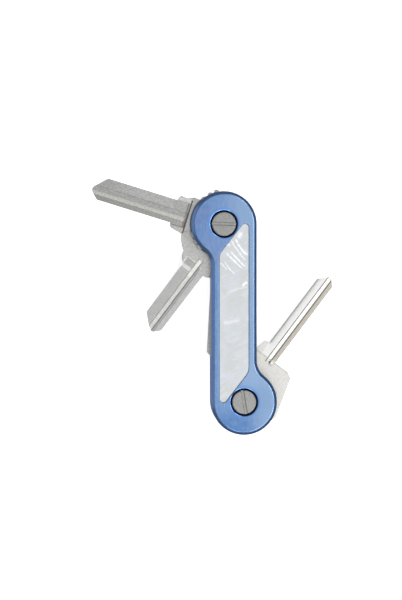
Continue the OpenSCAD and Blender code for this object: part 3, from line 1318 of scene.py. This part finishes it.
@dataclass
class KeySet:
    """The four keys: three on the upper post and one on the lower."""

    stack: Stack
    tool_top: float = 3.0
    tool_bottom: float = -1.0
    folded_extra: float = 4.9
    lumps: tuple[Corner, ...] = ((10.0, 6.9, 1.2), (8.1, 9.2, 1.2), (6.2, 10.9, 1.2))

    def _lumpy_bow(self, centre: float, radius: float, start: float, end: float) -> Outline:
        """Returns a round bow edge with a few small lobes on each side.

        Args:
            centre: Distance of the bow's centre from the post.
            radius: Radius of the bow.
            start: First angle in degrees.
            end: Last angle in degrees.

        Returns:
            The points in order.
        """
        points: Outline = []
        for x, y in arc((centre, 0), radius, start, end, 2.0):
            angle = math.atan2(y, x - centre)
            reach = radius
            for u, w, size in self.lumps:
                away, turn = math.hypot(u - centre, w), math.atan2(w, u - centre)
                gap = abs(abs(angle) - turn)
                if away * math.sin(min(gap, 1.5)) < size:
                    beyond = math.sqrt(size**2 - (away * math.sin(gap)) ** 2)
                    reach = max(reach, away * math.cos(gap) + beyond)
            points.append((centre + reach * math.cos(angle), reach * math.sin(angle)))
        return points

    def upper_blank(self) -> Outline:
        """Returns the outline of the key at the upper left."""
        bow = self._lumpy_bow(2.6, 11.0, 33, 325)
        neck = [
            (13.6, -6.6, 1.0), (16.2, -5.4, 1.0), (18.6, -5.6, 0.4), (19.3, -5.3, 0.3), (19.9, -3.65, 0.3),
            (47.9, -3.65, 0.4), (52.3, 0.8, 0.6), (52.8, 1.8, 0.6), (52.4, 2.9, 0.8), (49.8, 5.45, 0.5),
            (20.0, 5.45, 0.15), (20.0, 5.95, 0.4), (19.6, 6.9, 0.5), (18.5, 7.4, 0.5), (14.4, 8.3, 0.2),
            (13.4, 7.2, 0.4),
        ]
        return rounded(sharp(bow) + neck)

    def lower_blank(self, extra: float = 0.0) -> Outline:
        """Returns the outline of the key at the lower left, with its blade longer by extra."""
        bow = arc((6.5, 0), 12.5, 39, 321, 3.0)
        neck = [
            (17.4, -6.2, 0.5), (18.8, -5.9, 0.6), (20.1, -5.1, 0.5), (21.5, -3.5, 0.6), (23.9, -3.5, 0.5),
            (45.1 + extra, -3.5, 0.4), (49.1 + extra, 0.8, 0.5), (50.0 + extra, 2.5, 0.6),
            (49.8 + extra, 3.3, 0.5), (47.5 + extra, 5.5, 0.4), (20.8, 5.55, 0.2), (20.2, 7.8, 0.6),
        ]
        return rounded(sharp(bow) + neck)

    def folded_blank(self) -> Outline:
        """Returns the outline of the folded key."""
        return self.lower_blank(self.folded_extra)

    def right_blank(self) -> Outline:
        """Returns the outline of the key on the lower post."""
        return rounded([
            (2.7, -14.0, 1.0), (18.3, -9.5, 0.8), (19.2, -7.4, 0.5), (23.6, -6.9, 0.8), (25.2, -5.3, 0.5),
            (25.0, -3.35, 0.15), (54.5, -3.35, 0.5), (58.6, 0.7, 0.5), (59.1, 1.6, 0.4), (58.9, 2.4, 0.5),
            (55.6, 5.5, 0.4), (24.6, 5.5, 0.15), (24.0, 7.4, 0.8), (19.7, 8.3, 0.4), (18.2, 9.8, 0.8),
            (2.3, 13.6, 1.0), (-0.4, 12.6, 1.0), (-6.0, 8.6, 3.0), (-8.0, 4.0, 3.0), (-8.0, -4.0, 3.0),
            (-6.0, -8.6, 3.0), (-0.5, -13.1, 1.0),
        ])

    def upper_passes(self) -> tuple[Pass, ...]:
        """Returns the milling of the key at the upper left."""
        top, bottom = self.tool_top, self.tool_bottom
        face = (
            (-3.75, top), (-3.75, 1.72), (0.1, 1.72), (0.18, 1.5), (2.2, 1.32), (3.5, 1.05), (5.45, 1.4),
            (5.9, 1.45), (5.95, top),
        )
        back = (
            (-3.7, bottom), (-3.7, 0.5), (-1.8, 0.25), (-1.0, 0.8), (0.6, 0.8), (0.8, 0.2), (5.5, 0.2),
            (5.5, bottom),
        )
        return Pass(15.4, 1.1, face), Pass(20.0, 3.0, back, below=True)

    def lower_passes(self) -> tuple[Pass, ...]:
        """Returns the milling of the key at the lower left and of the folded key."""
        top, bottom = self.tool_top, self.tool_bottom
        flat = ((-3.9, top), (-3.9, 1.55), (0.6, 1.55), (0.6, top))
        groove = (
            (0.55, top), (0.55, 1.5), (0.75, 0.85), (2.15, 0.85), (2.3, 1.0), (2.4, 1.7), (3.3, 1.82),
            (3.4, 2.0), (3.4, top),
        )
        back = ((-2.6, bottom), (-2.6, -0.05), (-2.2, 0.7), (-0.6, 0.7), (-0.2, -0.05), (-0.2, bottom))
        return Pass(18.2, 0.25, flat), Pass(21.5, 6.0, groove), Pass(18.0, 2.0, back, below=True)

    def right_passes(self) -> tuple[Pass, ...]:
        """Returns the milling of the key on the lower post."""
        top, bottom = self.tool_top, self.tool_bottom
        flat = ((-12.0, top), (-12.0, 1.85), (12.0, 1.85), (12.0, top))
        groove = (
            (-0.95, top), (-0.95, 1.9), (-0.8, 0.9), (0.6, 0.9), (0.9, 1.1), (2.2, 1.75), (2.4, 1.9),
            (2.4, top),
        )
        back = ((2.8, bottom), (2.8, -0.05), (3.2, 0.7), (4.6, 0.7), (5.0, -0.05), (5.0, bottom))
        return Pass(19.3, 0.2, flat), Pass(21.5, 4.0, groove), Pass(19.0, 2.0, back, below=True)

    def upper_finish(self) -> NickelSilver:
        """Returns the finish of the key at the upper left."""
        base = (0.435, 0.435, 0.43)
        bands = (
            # the land along the milled step, dull by the bow and darker towards the tip
            Band(14.3, 21.0, -3.7, 0.1, (0.40, 0.40, 0.395), 0.3),
            Band(43.0, 60.0, -4.0, 0.02, (0.37, 0.37, 0.365), 4.0),
            # painted shade along the step's line, its darker floor, a painted highlight on the flank that
            # faces the light and painted shade on the far edge that faces away
            Band(14.6, 60.0, 0.02, 0.24, (0.20, 0.195, 0.18), 0.06, 0.5),
            Band(15.0, 60.0, 0.3, 2.2, (0.345, 0.345, 0.34), 0.15),
            Band(15.0, 60.0, 2.2, 3.5, (0.445, 0.445, 0.42), 0.15),
            Band(15.0, 60.0, 3.5, 5.6, (0.395, 0.39, 0.375), 0.15),
            # the light shoulders, and painted shade along the step where they leave the bow and in the corner
            # beside it
            Band(14.4, 20.0, -7.0, -3.9, (0.56, 0.56, 0.545), 0.1),
            Band(14.4, 20.0, 6.1, 8.6, (0.46, 0.46, 0.44), 0.1),
            Band(13.95, 14.5, -5.2, 8.6, (0.06, 0.055, 0.045), 0.06, 0.9),
            Band(14.4, 19.6, 5.8, 6.1, (0.13, 0.125, 0.11), 0.06, 0.85),
        )
        return NickelSilver("key_nickel_warm", base, Milling.FINE, bands, contrast=0.13, shade_ring=0.8)

    def lower_finish(self, name: str, base: Colour, milling: Milling) -> NickelSilver:
        """Returns the finish of the key at the lower left or of the folded key."""
        brown = (0.22, 0.195, 0.15)
        bands = (
            # the milled flat, with a dull and then a light stretch by the shoulder
            Band(22.0, 80.0, -4.0, 0.4, (0.55, 0.55, 0.54), 0.5),
            Band(18.4, 21.2, -3.3, 0.4, (0.40, 0.40, 0.395), 0.3),
            Band(21.2, 23.2, -3.6, 0.4, (0.66, 0.66, 0.645), 0.5),
            # painted highlights on the wall at the flat's end and along its side
            Band(17.9, 18.35, -3.7, 0.4, (0.80, 0.79, 0.75), 0.08),
            Band(18.0, 21.5, -3.95, -3.55, (0.70, 0.69, 0.65), 0.1),
            # the groove's brown line, its light floor, its tan line and its cool flank
            Band(16.5, 80.0, 0.42, 0.68, brown, 0.07, 0.9),
            Band(16.6, 80.0, 0.8, 2.15, (0.78, 0.775, 0.75), 0.12),
            Band(17.5, 80.0, 2.2, 2.5, (0.42, 0.39, 0.33), 0.07, 0.8),
            Band(18.5, 80.0, 2.55, 3.5, (0.62, 0.63, 0.635), 0.15),
        )
        ridges = (Band(22.5, 80.0, -3.6, 0.4, base, 0.3), Band(24.0, 80.0, 0.8, 2.1, base, 0.1, 0.7))
        return NickelSilver(name, base, milling, bands, ridges, shade_ring=0.8)

    def right_finish(self) -> NickelSilver:
        """Returns the finish of the key on the lower post."""
        base, white = (0.64, 0.635, 0.61), (1.0, 1.0, 0.995)
        bands = (
            # the land beside the groove, darker towards the key's edge
            Band(19.3, 70.0, 2.5, 5.6, (0.73, 0.73, 0.715), 0.1),
            Band(24.0, 70.0, 3.9, 5.8, (0.66, 0.66, 0.655), 0.7),
            Band(24.6, 70.0, 5.0, 6.5, (0.20, 0.20, 0.20), 0.7),
            # a painted highlight over the far side, painted shade on the groove's wall and a painted
            # highlight on its flank that faces the light
            Band(19.3, 70.0, -12.0, -0.6, white, 0.1),
            Band(17.6, 70.0, 2.22, 2.62, (0.17, 0.15, 0.11), 0.07, 0.95),
            Band(18.6, 70.0, 1.05, 2.2, white, 0.1),
            # the groove's end, its dark floor, its tan side and its dark tip
            Band(17.3, 19.2, -0.7, 0.9, (0.36, 0.35, 0.33), 0.3, 0.7),
            Band(17.8, 70.0, 0.3, 1.0, (0.17, 0.17, 0.165), 0.2),
            Band(18.6, 70.0, -0.6, 0.3, (0.50, 0.455, 0.365), 0.25),
            Band(58.3, 70.0, 0.3, 1.9, (0.30, 0.29, 0.27), 0.2, 0.8),
            # the step at the shoulder, and a faint line along the far side
            Band(19.1, 19.35, -8.6, 8.4, (0.45, 0.44, 0.41), 0.08),
            Band(19.5, 60.0, -1.75, -1.55, (0.72, 0.72, 0.70), 0.07, 0.6),
        )
        return NickelSilver("key_nickel_pale", base, Milling.FINE, bands, contrast=0.06)

    def keys(self) -> list[Key]:
        """Returns the four keys with their shapes and finishes."""
        upper, lower = self.stack.upper, self.stack.lower
        # the keys' base tones run darker at the left and lighter at the right, partly their own metal and
        # partly painted light from the right
        bright = self.lower_finish("key_nickel_bright", (0.48, 0.48, 0.475), Milling.RIDGED)
        # the folded key's finish, with a darker base than the other: painted shade, as it lies lower in the
        # stack
        in_shade = self.lower_finish("key_nickel_in_shade", (0.42, 0.42, 0.415), Milling.FINE)
        long_bow, short_bow, wide_bow = Panel(14.2, 7.2), Panel(12.9, 9.7), Panel(10.9, 9.3)
        tip = (50.0, 2.5)
        longer_tip = (tip[0] + self.folded_extra, tip[1])
        warm, pale = self.upper_finish(), self.right_finish()
        return [
            Key("key_upper", upper, warm, self.upper_blank, self.upper_passes(), long_bow, (52.8, 1.8)),
            Key("key_lower", upper, bright, self.lower_blank, self.lower_passes(), short_bow, tip),
            Key("key_folded", upper, in_shade, self.folded_blank, self.lower_passes(), short_bow, longer_tip),
            Key("key_right", lower, pale, self.right_blank, self.right_passes(), wide_bow, (59.1, 1.6)),
        ]

    def dress(self) -> None:
        """Puts every key in the scene."""
        for key in self.keys():
            key.dress()


# ---------------------------------------------------------------- studio


@dataclass(frozen=True)
class Softbox:
    """A square studio light that points at the organiser. Its place and size are in metres."""

    name: str
    place: tuple[float, float, float]
    size: float
    radiance: float

    def hang(self) -> None:
        """Adds the light to the scene."""
        lamp = bpy.data.lights.new(self.name, "AREA")
        lamp.shape = "SQUARE"
        lamp.size = self.size
        lamp.energy = self.radiance * math.pi * self.size**2
        holder = bpy.data.objects.new(self.name, lamp)
        bpy.context.scene.collection.objects.link(holder)
        holder.location = self.place
        holder.rotation_euler = Vector(self.place).to_track_quat("Z", "Y").to_euler()


@dataclass
class Studio:
    """Pale floor, soft lights and a camera that looks straight down."""

    floor_size: float = 30.0
    floor_gap: float = 0.05
    surround: float = 0.30
    view_centre: Point = (-12.78, 5.04)
    side_step: float = -21.7
    view_height: float = 231.3
    distance: float = 700.0
    main: Softbox = Softbox("main", (0.55, -0.40, 1.3), 2.2, 0.92)
    fill: Softbox = Softbox("fill", (-1.15, 0.25, 0.6), 1.3, 0.5)
    strip_azimuths: tuple[float, ...] = (55.0, 15.0, -25.0, -65.0, -105.0)
    strip_distance: float = 1.15
    strip_elevation: float = 45.0
    strip_size: float = 0.36
    strip_radiance: float = 4.5

    def floor(self) -> None:
        """Lays the floor under the organiser."""
        shell = Shell()
        half = self.floor_size / 2 / MM
        shell.cap(shell.ring([(-half, -half), (half, -half), (half, half), (-half, half)], 0.0))
        mesh = shell.mesh("floor")
        into_frame(mesh)
        mesh.materials.append(PaleFloor().material())
        floor = holder_of(mesh)
        floor.location.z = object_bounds()[0].z - self.floor_gap * MM
        floor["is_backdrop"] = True

    def light(self) -> None:
        """Hangs the lights and sets the even glow of the room."""
        self.main.hang()
        self.fill.hang()
        lean = math.radians(self.strip_elevation)
        for index, azimuth in enumerate(self.strip_azimuths):
            turn = math.radians(azimuth)
            out = self.strip_distance * math.cos(lean)
            place = (out * math.cos(turn), out * math.sin(turn), self.strip_distance * math.sin(lean))
            Softbox(f"strip_{index + 1}", place, self.strip_size, self.strip_radiance).hang()
        world = bpy.data.worlds.new("studio")
        world.use_nodes = True
        background = world.node_tree.nodes["Background"]
        background.inputs["Color"].default_value = (1.0, 1.0, 1.0, 1.0)
        background.inputs["Strength"].default_value = self.surround
        bpy.context.scene.world = world
        bpy.context.scene.view_settings.view_transform = "Standard"

    def camera(self, top: float) -> None:
        """Hangs the camera above the organiser.

        Args:
            top: Height of the front face, in millimetres.
        """
        lens = bpy.data.cameras.new("camera")
        lens.sensor_width = 36.0
        lens.lens = lens.sensor_width * math.hypot(self.distance, self.side_step) / self.view_height
        lens.clip_start = 0.01
        camera = bpy.data.objects.new("camera", lens)
        bpy.context.scene.collection.objects.link(camera)
        x, y = self.view_centre
        camera.location = Vector((x + self.side_step, y, top + self.distance)) * MM
        camera.rotation_euler.y = math.atan2(self.side_step, self.distance)
        bpy.context.scene.camera = camera


def main() -> None:
    """Builds the organiser and its studio."""
    logging.basicConfig(level=logging.INFO, format="%(name)s: %(message)s")
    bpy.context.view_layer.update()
    stack = Stack.from_frame()
    plates = Plates(stack)
    plates.dress(plates.build())
    Fastenings(stack).dress()
    KeySet(stack).dress()
    studio = Studio()
    studio.floor()
    studio.light()
    studio.camera(stack.levels("front_plate")[1])
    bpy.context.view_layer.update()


if __name__ == "__main__":
    main()
